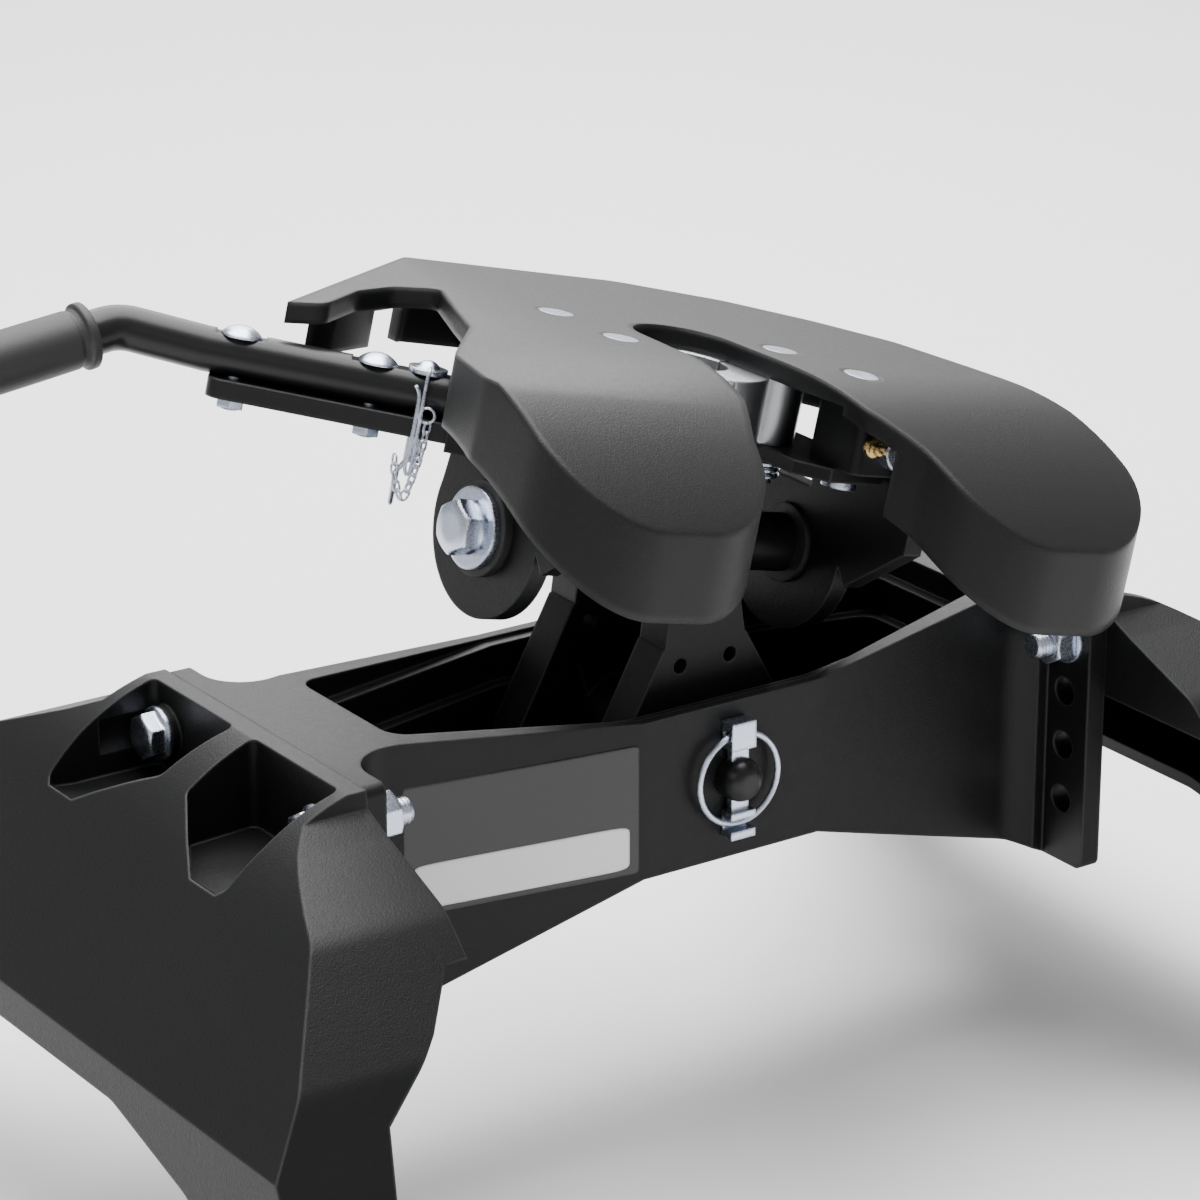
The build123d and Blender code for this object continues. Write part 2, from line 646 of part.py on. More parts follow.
def make_carriage():
    bolts, nuts = [], []
    seat_z = tube_z + tube_d / 2 - 2
    for s in carriage_at:
        dome = Pos(*on_line(s, seat_z - 9)) * (Sphere(15) & box(-20, 20, -20, 20, 9, 20))
        bolts.append(dome + rod(on_line(s, bar_low - 7), on_line(s, seat_z), carriage_d))
        nut = hexagon(on_line(s, bar_low - 6), on_line(s, bar_low), 14.3)
        nuts.append(nut - rod(on_line(s, 0), on_line(s, 80), carriage_d))
    return bolts, nuts


def make_lock_pin():
    seat_z = tube_z + tube_d / 2 - 2
    pin = rod(on_line(0, bar_low - 16), on_line(0, seat_z), lock_pin_d)
    pin += rod(on_line(0, seat_z), on_line(0, seat_z + 3), 22)
    pin += Pos(*on_line(0, seat_z - 1)) * (Sphere(8) & box(-10, 10, -10, 10, 3, 10))
    clip_z = bar_low - 9
    pin -= rod(on_line(0, clip_z, -9), on_line(0, clip_z, 9), 2.9)
    # hairpin clip: one leg through the pin, the other hanging past it
    path = FilletPolyline(on_line(0, clip_z, -12), on_line(0, clip_z, 14), on_line(7, clip_z - 12, 14),
                          on_line(7, clip_z - 38, 2), on_line(7, clip_z - 12, -8), radius=4)
    profile = Plane(path @ 0, z_dir=path % 0) * Circle(1.4)
    return pin, sweep(profile, path=path)


def make_guide(space):
    body = bar_box(-36, -17, 20, bar_low - 3.6, plate_top) & space & box(-300, -ear_in, -300, 300, 0, 200)
    body -= bar_box(-60, 10, bar_w / 2 + gap, bar_low - gap, tube_z + 16)
    return body


def make_label():
    """A bare plate on the beam's rear wall, left of the pin."""
    x0, y0 = -beam_inner / 2, -beam_end_half - 2
    x1, y1 = -beam_mid_span, -beam_mid_half
    along = Vector(x1 - x0, y1 - y0, 0)
    out = Vector(along.Y, -along.X, 0).normalized()
    mid_z = flange_top - 64
    plane = Plane(Vector(x1, y1, mid_z) - along.normalized() * 66, x_dir=along, z_dir=out)
    return plane * Pos(0, 0, 0.3) * Box(126, 76, 0.6)


def main():
    save("center_beam", make_beam())
    legs = both_sides(make_leg())
    save("right_leg", legs[0])
    save("left_leg", legs[1])
    bolts, nuts, washers = make_leg_fasteners()
    save("leg_bolts", *bolts)
    save("leg_nuts", *nuts)
    save("leg_washers", *washers)
    save("yoke", make_yoke())
    for name, flip in (("rear", False), ("front", True)):
        for piece, solid in (("yoke_pin", make_yoke_pin()), ("pin_keeper", make_keeper()),
                             ("pull_ring", make_ring())):
            save(f"{name}_{piece}", mirror(solid, Plane.XZ) if flip else solid)
    lift = Pos(0, 0, roll_z)
    pin, ball, race, rings = make_roll_pin()
    save("roll_pin", lift * pin)
    save("bearing_ball", lift * ball)
    save("roll_pin_rings", *[lift * ring for ring in rings])
    save("bearing_race", *place([race]))
    save("rocker", *place([make_rocker()]))
    bolts, washers, sleeves, rubbers = make_trunnions()
    save("trunnion_bolts", *place(bolts))
    save("trunnion_washers", *place(washers))
    save("bushing_sleeves", *place(sleeves))
    save("bushing_rubbers", *place(rubbers))
    space = make_head_space()
    save("skid_plate", *place([make_skid_plate(space)]))
    save("left_ear", *place([make_ear(-1, space)]))
    save("right_ear", *place([make_ear(1, space)]))
    save("jaw_shelf", *place([make_shelf()]))
    save("king_pin_seat", *place([make_seat()]))
    jaws = both_sides(make_jaw())
    save("right_jaw", *place([jaws[0]]))
    save("left_jaw", *place([jaws[1]]))
    save("jaw_pins", *place(make_jaw_pins()))
    save("spacer_pins", *place(make_spacers()))
    save("jaw_springs", *place(make_springs()))
    save("pivot_block", *place([make_pivot_block()]))
    fitting, cap = make_fitting()
    save("grease_fitting", *place([fitting]))
    save("pivot_cap", *place([cap]))
    tube_part, bar, grip = make_handle()
    save("handle_tube", *place([tube_part]))
    save("handle_bar", *place([bar]))
    save("handle_grip", *place([grip]))
    bolts, nuts = make_carriage()
    save("carriage_bolts", *place(bolts))
    save("carriage_nuts", *place(nuts))
    pin, clip = make_lock_pin()
    save("lock_pin", *place([pin]))
    save("lock_pin_clip", *place([clip]))
    save("handle_guide", *place([make_guide(space)]))
    save("beam_plate", make_label())


main()
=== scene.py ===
import bmesh
import bpy
import json
import math
import numpy as np
from mathutils import Matrix, Vector


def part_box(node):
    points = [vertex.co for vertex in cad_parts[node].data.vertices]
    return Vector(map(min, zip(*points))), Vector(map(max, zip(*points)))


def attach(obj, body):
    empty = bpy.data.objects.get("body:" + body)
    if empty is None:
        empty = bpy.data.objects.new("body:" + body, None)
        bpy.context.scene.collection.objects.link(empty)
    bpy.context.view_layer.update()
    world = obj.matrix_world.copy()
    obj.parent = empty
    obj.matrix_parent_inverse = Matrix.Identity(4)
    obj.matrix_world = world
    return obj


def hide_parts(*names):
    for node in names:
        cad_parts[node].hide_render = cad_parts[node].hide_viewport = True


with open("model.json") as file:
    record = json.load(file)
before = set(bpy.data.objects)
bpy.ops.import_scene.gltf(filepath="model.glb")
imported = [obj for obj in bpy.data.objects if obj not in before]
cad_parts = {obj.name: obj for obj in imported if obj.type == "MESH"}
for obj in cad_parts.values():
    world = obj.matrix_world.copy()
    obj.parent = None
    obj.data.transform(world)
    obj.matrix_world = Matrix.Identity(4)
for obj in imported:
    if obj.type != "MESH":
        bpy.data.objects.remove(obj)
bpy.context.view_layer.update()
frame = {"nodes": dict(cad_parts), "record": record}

# %% [markdown]
# The camera comes first, because every later choice of size and finish is judged through it.
# The hitch is seen from behind, from the driver's side and a little above, with a long lens, so
# edges that are parallel on the real casting stay nearly parallel in the view. Two angles and a
# distance from a point on top of the centre beam place it, which reads better than a raw matrix.

# %% Camera
AIM = Vector((0.0, 0.0, 0.282))
TURN, RISE = math.radians(-34.509), math.radians(20.321)
REACH, ALONG, ABOVE = 2.634, -0.0264, 0.0191

away = Vector((math.sin(TURN) * math.cos(RISE), -math.cos(TURN) * math.cos(RISE), math.sin(RISE)))
right = Vector((math.cos(TURN), math.sin(TURN), 0.0))
up = away.cross(right)
camera_data = bpy.data.cameras.new("camera")
camera_data.lens, camera_data.sensor_width = 139.2, 36.0
camera = bpy.data.objects.new("camera", camera_data)
bpy.context.collection.objects.link(camera)
turned = Matrix((right, up, away)).transposed().to_4x4()
camera.matrix_world = Matrix.Translation(AIM + away * REACH + right * ALONG + up * ABOVE) @ turned
bpy.context.scene.camera = camera
print("camera at", [round(v, 3) for v in camera.matrix_world.translation])

# %% [markdown]
# Light decides how a black powder coat looks: its top faces read mid grey because they mirror a
# big soft source overhead, and its upright faces go nearly black. So one wide lamp hangs above
# and a panel stands far behind, where the tops mirror it. A weaker one at the left draws thin
# bright lines along edges and round the zinc bolts. Small lamps would give hard glints instead.

# %% Lights and floor
def lamp(name, place, aim, width, watts):
    """A square soft lamp at place, facing aim."""
    data = bpy.data.lights.new(name, "AREA")
    data.size, data.energy = width, watts
    obj = bpy.data.objects.new(name, data)
    bpy.context.collection.objects.link(obj)
    look = (Vector(aim) - Vector(place)).to_track_quat("-Z", "Y")
    obj.matrix_world = Matrix.Translation(place) @ look.to_matrix().to_4x4()


lamp("overhead", (0.2, 0.5, 3.2), (0.0, 0.0, 0.3), 3.0, 300.0)
lamp("far_panel", (1.5, 2.6, 2.3), (0.0, 0.0, 0.3), 2.4, 105.0)
lamp("left_rear", (-2.6, -1.6, 1.9), (0.0, 0.0, 0.3), 1.0, 9.0)
world = bpy.data.worlds.new("studio")
world.use_nodes = True
world.node_tree.nodes["Background"].inputs["Color"].default_value = (1.0, 1.0, 1.0, 1.0)
world.node_tree.nodes["Background"].inputs["Strength"].default_value = 0.6
bpy.context.scene.world = world

# %% [markdown]
# Shared effects come next. Every coated or plated piece shows the same three things in a
# different strength: a fine grain, a painted highlight line along the edges, and slow changes of tone.
# Each is a node group with named sockets, so a material only says how strong it is. The edge
# group compares the true normal with one rounded over a small radius: where they differ, there
# is an edge. That also rounds the shading of sharp modelled corners, as paint does.

# %% Node helpers
def new_group(name, ins, outs):
    """An empty shader group with float inputs (name: value) and outputs (name: socket type)."""
    group = bpy.data.node_groups.new(name, "ShaderNodeTree")
    for label, value in ins.items():
        sock = group.interface.new_socket(label, in_out="INPUT", socket_type="NodeSocketFloat")
        sock.default_value = value
    for label, kind in outs.items():
        group.interface.new_socket(label, in_out="OUTPUT", socket_type=kind)
    return group, group.nodes.new("NodeGroupInput"), group.nodes.new("NodeGroupOutput")


def math_node(tree, how, first, second=None):
    """A Math node fed by two sockets or numbers."""
    node = tree.nodes.new("ShaderNodeMath")
    node.operation = how
    for index, value in enumerate((first, second)):
        if hasattr(value, "links"):
            tree.links.new(value, node.inputs[index])
        elif value is not None:
            node.inputs[index].default_value = value
    return node.outputs[0]


def noise(tree, coords, scale, detail=2.0, rough=0.5):
    """Noise over Object coordinates, which are metres here, so 1000 means about a millimetre."""
    node = tree.nodes.new("ShaderNodeTexNoise")
    node.inputs["Detail"].default_value = detail
    node.inputs["Roughness"].default_value = rough
    tree.links.new(coords, node.inputs["Vector"])
    if hasattr(scale, "links"):
        tree.links.new(scale, node.inputs["Scale"])
    else:
        node.inputs["Scale"].default_value = scale
    return node.outputs["Fac"]


# %% Edge group and grain group
def make_edges():
    """Edge = how far the rounded normal leans from the true one, times gain, held under one."""
    group, source, out = new_group(
        "edges", {"Gain": 6.0, "Radius": 0.0022},
        {"Edge": "NodeSocketFloat", "Normal": "NodeSocketVector"})
    bevel = group.nodes.new("ShaderNodeBevel")
    bevel.samples = 4
    group.links.new(source.outputs["Radius"], bevel.inputs["Radius"])
    geometry = group.nodes.new("ShaderNodeNewGeometry")
    lean = group.nodes.new("ShaderNodeVectorMath")
    lean.operation = "DOT_PRODUCT"
    group.links.new(bevel.outputs["Normal"], lean.inputs[0])
    group.links.new(geometry.outputs["Normal"], lean.inputs[1])
    apart = math_node(group, "SUBTRACT", 1.0, lean.outputs["Value"])
    strong = math_node(group, "MULTIPLY", apart, source.outputs["Gain"])
    group.links.new(math_node(group, "MINIMUM", strong, 1.0), out.inputs["Edge"])
    group.links.new(bevel.outputs["Normal"], out.inputs["Normal"])
    return group


def make_grain():
    """Height = fine orange peel plus coarser sand-cast pits. Tone = slow blotches, 0 to 1."""
    group, source, out = new_group(
        "grain", {"Fine": 900.0, "Coarse": 220.0, "Coarse share": 0.4},
        {"Height": "NodeSocketFloat", "Tone": "NodeSocketFloat"})
    coords = group.nodes.new("ShaderNodeTexCoord").outputs["Object"]
    fine = noise(group, coords, source.outputs["Fine"], 2.0)
    coarse = noise(group, coords, source.outputs["Coarse"], 3.0, 0.6)
    share = math_node(group, "MULTIPLY", coarse, source.outputs["Coarse share"])
    group.links.new(math_node(group, "ADD", fine, share), out.inputs["Height"])
    group.links.new(noise(group, coords, 9.0, 4.0, 0.6), out.inputs["Tone"])
    return group


EDGES, GRAIN = make_edges(), make_grain()
print("node groups", EDGES.name, GRAIN.name)

# %% [markdown]
# A finish is one recipe with numbers: two tones that the blotches mix, the colour of a painted
# highlight along the edges, a range of roughness and a depth of grain. Powder coat over a casting
# has coarse grain and a satin shine; zinc is a bright metal with a cold tint; rubber is dull. One
# function makes them all, and values that are the same all over sit on the shader's own sockets.

# %% Finish recipe
def place_group(tree, group, **values):
    """The group as a node in this tree, with its inputs set."""
    node = tree.nodes.new("ShaderNodeGroup")
    node.node_tree = group
    for label, value in values.items():
        node.inputs[label.replace("_", " ")].default_value = value
    return node


def mix_colour(tree, amount, first, second):
    """Colour mixed from first to second by amount; each is a socket or three numbers."""
    node = tree.nodes.new("ShaderNodeMix")
    node.data_type = "RGBA"
    tree.links.new(amount, node.inputs["Factor"])
    for label, value in (("A", first), ("B", second)):
        sock = [s for s in node.inputs if s.name == label and s.type == "RGBA"][0]
        if hasattr(value, "links"):
            tree.links.new(value, sock)
        else:
            sock.default_value = (*value, 1.0)
    return [s for s in node.outputs if s.type == "RGBA"][0]


def finish(name, dark, light, edge, rough, depth, metallic=0.0, gain=6.0,
           fine=900.0, coarse=220.0, share=0.4, shine=0.5, radius=0.0022):
    """A coated, plated or rubber finish; edge is the colour of a painted highlight along edges. rough is
    (smoothest, dullest), depth the grain in m.
    """
    material = bpy.data.materials.new(name)
    material.use_nodes = True
    tree = material.node_tree
    shader = tree.nodes["Principled BSDF"]
    grain = place_group(tree, GRAIN, Fine=fine, Coarse=coarse, Coarse_share=share)
    edges = place_group(tree, EDGES, Gain=gain, Radius=radius)
    base = mix_colour(tree, grain.outputs["Tone"], dark, light)
    # Painted highlight: the edge colour is mixed in along edges, by the edge mask times the blotches.
    painted_highlight_amount = math_node(tree, "MULTIPLY", edges.outputs["Edge"], grain.outputs["Tone"])
    tree.links.new(mix_colour(tree, painted_highlight_amount, base, edge), shader.inputs["Base Color"])
    spread = tree.nodes.new("ShaderNodeMapRange")
    tree.links.new(grain.outputs["Height"], spread.inputs["Value"])
    spread.inputs["From Min"].default_value, spread.inputs["From Max"].default_value = 0.3, 1.1
    spread.inputs["To Min"].default_value, spread.inputs["To Max"].default_value = rough
    tree.links.new(spread.outputs["Result"], shader.inputs["Roughness"])
    bump = tree.nodes.new("ShaderNodeBump")
    bump.inputs["Strength"].default_value = 1.0
    bump.inputs["Distance"].default_value = depth
    tree.links.new(grain.outputs["Height"], bump.inputs["Height"])
    tree.links.new(edges.outputs["Normal"], bump.inputs["Normal"])
    tree.links.new(bump.outputs["Normal"], shader.inputs["Normal"])
    shader.inputs["Metallic"].default_value = metallic
    shader.inputs["Specular IOR Level"].default_value = shine
    return material


# %% The finishes of this hitch
# The third colour of each finish is a painted highlight along its edges.
COAT_DARK, COAT_LIGHT, COAT_EDGE_HIGHLIGHT = (0.0036, 0.0037, 0.0040), (0.0062, 0.0063, 0.0067), (0.09, 0.092, 0.096)
CAST = finish("cast_powder_coat", COAT_DARK, COAT_LIGHT, COAT_EDGE_HIGHLIGHT, (0.36, 0.52), 0.00016, shine=0.20)
PLATE = finish("plate_powder_coat", COAT_DARK, COAT_LIGHT, COAT_EDGE_HIGHLIGHT, (0.34, 0.48), 0.00012,
               shine=0.26, radius=0.0055, gain=1.2)
TUBE = finish("tube_powder_coat", COAT_DARK, COAT_LIGHT, COAT_EDGE_HIGHLIGHT, (0.28, 0.4), 0.00006,
              fine=1400.0, share=0.1, shine=0.3)
ZINC = finish("bright_zinc", (0.42, 0.46, 0.56), (0.62, 0.67, 0.78), (0.90, 0.93, 1.0),
              (0.20, 0.34), 0.00003, metallic=1.0, fine=2200.0, coarse=500.0)
STEEL = finish("machined_steel", (0.46, 0.47, 0.49), (0.62, 0.63, 0.65), (0.85, 0.86, 0.88),
               (0.24, 0.42), 0.00004, metallic=1.0, fine=1800.0, coarse=400.0)
BRASS = finish("fitting_brass", (0.50, 0.34, 0.12), (0.66, 0.46, 0.18), (0.9, 0.75, 0.4),
               (0.2, 0.36), 0.00003, metallic=1.0)
GRIP = finish("grip_rubber", (0.009, 0.009, 0.0095), (0.013, 0.013, 0.014), (0.05, 0.05, 0.05),
              (0.48, 0.62), 0.00016, fine=1600.0, coarse=500.0)
RUBBER = finish("bushing_rubber", (0.010, 0.010, 0.010), (0.018, 0.018, 0.018), (0.04, 0.04, 0.04),
                (0.55, 0.75), 0.00010)
FILM = finish("dark_film", (0.016, 0.016, 0.0165), (0.020, 0.020, 0.0205), (0.05, 0.05, 0.05),
              (0.36, 0.44), 0.00002, fine=3000.0)
STRIP = finish("pale_film", (0.72, 0.73, 0.72), (0.78, 0.79, 0.78), (0.85, 0.85, 0.85),
               (0.36, 0.44), 0.00002, fine=3000.0)
FLOOR = finish("studio_floor", (0.86, 0.86, 0.86), (0.88, 0.88, 0.88), (0.88, 0.88, 0.88),
               (0.7, 0.8), 0.0, gain=0.0)
bpy.ops.mesh.primitive_plane_add(size=14.0, location=(0.0, 0.0, -0.0005))
floor = bpy.context.object
floor.name = "studio_floor"
floor.data.materials.append(FLOOR)

# %% [markdown]
# The solids arrive as loose flat triangles, so a round tube would show facets. Their meshes must
# stay as they are, but a modifier may finish them: a small geometry-nodes tree merges the loose
# corners, marks edges sharper than 32 degrees, and shades everything between them smooth.

# %% Smooth shading for the carried-over solids
def make_smoother():
    """Geometry nodes: merge by distance, store sharp_edge where the face angle is large, smooth."""
    tree = bpy.data.node_groups.new("smooth_by_angle", "GeometryNodeTree")
    tree.interface.new_socket("Geometry", in_out="INPUT", socket_type="NodeSocketGeometry")
    tree.interface.new_socket("Geometry", in_out="OUTPUT", socket_type="NodeSocketGeometry")
    start, end = tree.nodes.new("NodeGroupInput"), tree.nodes.new("NodeGroupOutput")
    drop = tree.nodes.new("GeometryNodeRemoveAttribute")
    drop.inputs["Name"].default_value = "custom_normal"
    merge = tree.nodes.new("GeometryNodeMergeByDistance")
    merge.inputs["Distance"].default_value = 1e-6
    angle = tree.nodes.new("GeometryNodeInputMeshEdgeAngle")
    sharp = tree.nodes.new("ShaderNodeMath")
    sharp.operation = "GREATER_THAN"
    sharp.inputs[1].default_value = math.radians(32.0)
    store = tree.nodes.new("GeometryNodeStoreNamedAttribute")
    store.data_type, store.domain = "BOOLEAN", "EDGE"
    store.inputs["Name"].default_value = "sharp_edge"
    smooth = tree.nodes.new("GeometryNodeSetShadeSmooth")
    tree.links.new(start.outputs[0], drop.inputs["Geometry"])
    tree.links.new(drop.outputs["Geometry"], merge.inputs["Geometry"])
    tree.links.new(merge.outputs["Geometry"], store.inputs["Geometry"])
    tree.links.new(angle.outputs["Unsigned Angle"], sharp.inputs[0])
    tree.links.new(sharp.outputs[0], store.inputs["Value"])
    tree.links.new(store.outputs["Geometry"], smooth.inputs["Geometry"])
    tree.links.new(smooth.outputs["Geometry"], end.inputs[0])
    return tree


SMOOTHER = make_smoother()
SLOT_FINISH = {"black_coat": CAST, "zinc": ZINC, "jaw_steel": STEEL, "grip_rubber": GRIP,
               "bushing_rubber": RUBBER, "brass": BRASS, "plate_film": FILM}
OWN_FINISH = {"skid_plate": PLATE, "handle_tube": TUBE, "handle_bar": TUBE,
              "rear_yoke_pin": TUBE, "front_yoke_pin": TUBE}
for part in frame["record"]["subparts"]:
    node = frame["nodes"][part["node"]]
    coat = OWN_FINISH.get(part["node"], SLOT_FINISH[part["material_slot"]])
    if not node.material_slots:
        node.data.materials.append(coat)
    for place in node.material_slots:
        place.material = coat
    modifier = node.modifiers.new("smooth", "NODES")
    modifier.node_group = SMOOTHER

# %% [markdown]
# New pieces are surfaces on a grid: rows run one way over the shape, columns the other, and one
# function turns rows and columns into faces. Everything is worked out as whole arrays, so a
# thread with thousands of points costs one line. A piece rides on the body of the solid that it
# stands for, and takes the same finish slot.

# %% Grid surfaces
def grid_faces(rows, cols, wrap_rows=False):
    """Quads between neighbouring points of a rows x cols grid whose columns always close."""
    r = np.arange(rows if wrap_rows else rows - 1)[:, None]
    c = np.arange(cols)[None, :]
    r2, c2 = (r + 1) % rows, (c + 1) % cols
    quads = np.stack([r * cols + c, r * cols + c2, r2 * cols + c2, r2 * cols + c], axis=-1)
    return quads.reshape(-1, 4)


def frame_axes(axis):
    """Two unit vectors square to axis."""
    axis = np.asarray(axis, float) / np.linalg.norm(axis)
    side = np.cross(axis, (0.0, 0.0, 1.0) if abs(axis[2]) < 0.9 else (1.0, 0.0, 0.0))
    side /= np.linalg.norm(side)
    return axis, side, np.cross(axis, side)


def around(radii, heights, origin, axis, columns):
    """Points origin + axis*height + radius*(side*cos a + other*sin a); radii is rows x columns."""
    axis, side, other = frame_axes(axis)
    turn = np.linspace(0.0, 2 * np.pi, columns, endpoint=False)
    radii = np.broadcast_to(radii, (len(heights), columns))[..., None]
    high = np.asarray(heights, float)
    high = high if high.ndim == 2 else np.broadcast_to(high[:, None], radii.shape[:2])
    ring = side * np.cos(turn)[None, :, None] + other * np.sin(turn)[None, :, None]
    return np.asarray(origin) + axis * high[..., None] + ring * radii


def build(name, surfaces, body, coat, replaces=(), smooth=35.0):
    """One mesh object from (points grid, wrap rows) surfaces, riding on a body."""
    verts, faces, start = [], [], 0
    for points, wrap in surfaces:
        rows, cols = points.shape[:2]
        verts.append(points.reshape(-1, 3))
        faces.append(grid_faces(rows, cols, wrap) + start)
        start += rows * cols
    mesh = bpy.data.meshes.new(name)
    verts, faces = np.concatenate(verts), np.concatenate(faces)
    mesh.from_pydata(verts, [], faces.tolist())
    mesh.update()
    bm_clean(mesh)
    mesh.materials.append(coat)
    obj = bpy.data.objects.new(name, mesh)
    bpy.context.collection.objects.link(obj)
    mesh.shade_smooth()
    mesh.set_sharp_from_angle(angle=math.radians(smooth))
    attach(obj, body)
    if replaces:
        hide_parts(*replaces)
    print(name, len(mesh.polygons), "faces")


def bm_clean(mesh):
    """Merges the poles' doubled points and turns every face outwards."""
    work = bmesh.new()
    work.from_mesh(mesh)
    bmesh.ops.remove_doubles(work, verts=work.verts, dist=1e-6)
    bmesh.ops.recalc_face_normals(work, faces=work.faces)
    work.to_mesh(mesh)
    work.free()


# %% [markdown]
# Hex bolts are what make this part look bolted together. A forged head isn't a plain prism: its
# corners are cut by a shallow cone, it stands on a round flange, and its far end shows thread.
# The head's outline is one formula, radius = half the flats over the cosine of the angle to the
# nearest flat, and the cone lowers the height wherever that radius passes a limit.

# %% Hex heads, nuts and threads
def hex_radius(columns, flats):
    """Radius of a hexagon, flats across, at each column."""
    turn = np.linspace(0.0, 2 * np.pi, columns, endpoint=False)
    return flats / 2 / np.cos((turn + np.pi / 6) % (np.pi / 3) - np.pi / 6)


def hex_head(origin, axis, flats, base, top, columns=72):
    """Closed hexagonal head from height base to top, its upper corners cut by a 30 degree cone."""
    radius = hex_radius(columns, flats)
    limit = flats * 0.475
    drop = np.maximum(radius - limit, 0.0) * math.tan(math.radians(30.0))
    zero = np.zeros(columns)
    radii = np.stack([zero, radius, radius, np.minimum(radius, limit), zero + limit * 0.55, zero])
    heights = np.stack([zero + base, zero + base, top - drop, zero + top, zero + top, zero + top])
    return around(radii, heights, origin, axis, columns), False


def lathe(origin, axis, profile, columns=64):
    """A profile of (radius, height) pairs turned about an axis."""
    profile = np.asarray(profile, float)
    return around(profile[:, :1], profile[:, 1], origin, axis, columns), False


def thread(origin, axis, start, end, radius, pitch, depth=0.0009, columns=32):
    """radius - depth * triangle wave of (height/pitch - turn), with a chamfered closed tip."""
    rows = int(abs(end - start) / pitch * 8) + 2
    heights = np.linspace(start, end, rows)
    turn = np.linspace(0.0, 1.0, columns, endpoint=False)
    wave = np.abs(((heights[:, None] / pitch - turn[None, :]) % 1.0) - 0.5) * 2
    fade = np.clip(np.abs(heights - end) / 0.0016, 0.35, 1.0)[:, None]
    radii = (radius - depth * wave) * (0.8 + 0.2 * fade)
    radii = np.concatenate([np.zeros((1, columns)), radii, np.zeros((1, columns))])
    heights = np.concatenate([[start], heights, [end]])
    return around(radii, heights, origin, axis, columns), False


# %% Leg bolts and nuts
low, high = (np.array(corner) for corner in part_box("leg_bolts"))
BOLT_Y, BOLT_Z = high[1] - 0.0155, (low[2] + high[2]) / 2
FLANGE_FACE, BOLT_FLATS, BOLT_R = high[0] - 0.012, 0.0238, 0.00794
BOLT_TIP, NUT_FACE = 0.214, 0.2375
BOLT_FLANGE = [(0, -0.0005), (0.0155, 0.0), (0.0155, 0.0016), (0.0152, 0.0021),
               (0.0118, 0.0032), (0, 0.0032)]
NUT_COLLAR = [(0, 0.013), (0.0098, 0.0139), (0.0088, 0.0132), (0, 0.0130)]
bolt_parts, nut_parts = [], []
for side in (-1, 1):
    for end in (-1, 1):
        seat = (side * FLANGE_FACE, end * BOLT_Y, BOLT_Z)
        out = (side, 0.0, 0.0)
        bolt_parts.append(lathe(seat, out, BOLT_FLANGE))
        bolt_parts.append(hex_head(seat, out, BOLT_FLATS, 0.002, 0.012))
        reach = FLANGE_FACE - BOLT_TIP
        bolt_parts.append(thread(seat, out, -0.034, -reach, BOLT_R, 0.0023))
        bolt_parts.append(lathe(seat, out, [(0, 0), (BOLT_R, 0), (BOLT_R, -0.036), (0, -0.036)]))
        nut_seat = (side * NUT_FACE, end * BOLT_Y, BOLT_Z)
        inward = (-side, 0.0, 0.0)
        nut_parts.append(hex_head(nut_seat, inward, BOLT_FLATS, 0.0002, 0.0138))
        nut_parts.append(lathe(nut_seat, inward, NUT_COLLAR))
build("leg_bolt_detail", bolt_parts, "base", ZINC, ["leg_bolts"])
build("leg_nut_detail", nut_parts, "base", ZINC, ["leg_nuts"])

# %% [markdown]
# The head is stored rolled, so its pieces are easier to place in its own level frame: heights
# above the roll axis, sideways along the trunnions. One function carries such a point into the
# shared frame, and another carries a direction.

# %% The head's own frame
ROLL = math.radians(13.5)
ROLL_AXIS_Z = 0.341
TILT = np.array([[math.cos(ROLL), 0.0, math.sin(ROLL)],
                 [0.0, 1.0, 0.0],
                 [-math.sin(ROLL), 0.0, math.cos(ROLL)]])


def head_point(x, y, z):
    """Millimetres in the head's level frame to metres in the shared one."""
    return TILT @ (np.array([x, y, z], float) / 1000) + np.array([0.0, 0.0, ROLL_AXIS_Z])


def head_way(x, y, z):
    """A direction in the head's level frame, turned into the shared one."""
    return TILT @ np.array([x, y, z], float)


# %% Trunnion bolts
HEAD_FACE = 122.0
TRUNNION_FLANGE = [(0, -0.0005), (0.015, 0), (0.015, 0.0012), (0.0135, 0.0022), (0, 0.0022)]
parts = []
for side in (-1, 1):
    seat, out = head_point(side * HEAD_FACE, 0, 0), head_way(side, 0, 0)
    parts.append(lathe(seat, out, TRUNNION_FLANGE))
    parts.append(hex_head(seat, out, 0.0278, 0.0015, 0.0128))
    parts.append(lathe(seat, out, [(0, 0), (0.0095, 0), (0.0095, -0.059), (0, -0.060)]))
build("trunnion_bolt_detail", parts, "rocker", ZINC, ["trunnion_bolts"])

# %% [markdown]
# The grip is a moulded rubber sleeve: a slightly barrel-shaped body with a soft collar at each
# end, marked off by a fine groove. It is a lathe shape whose radius is the barrel plus four
# flat-topped bumps, two outwards for the collars and two inwards for the grooves.

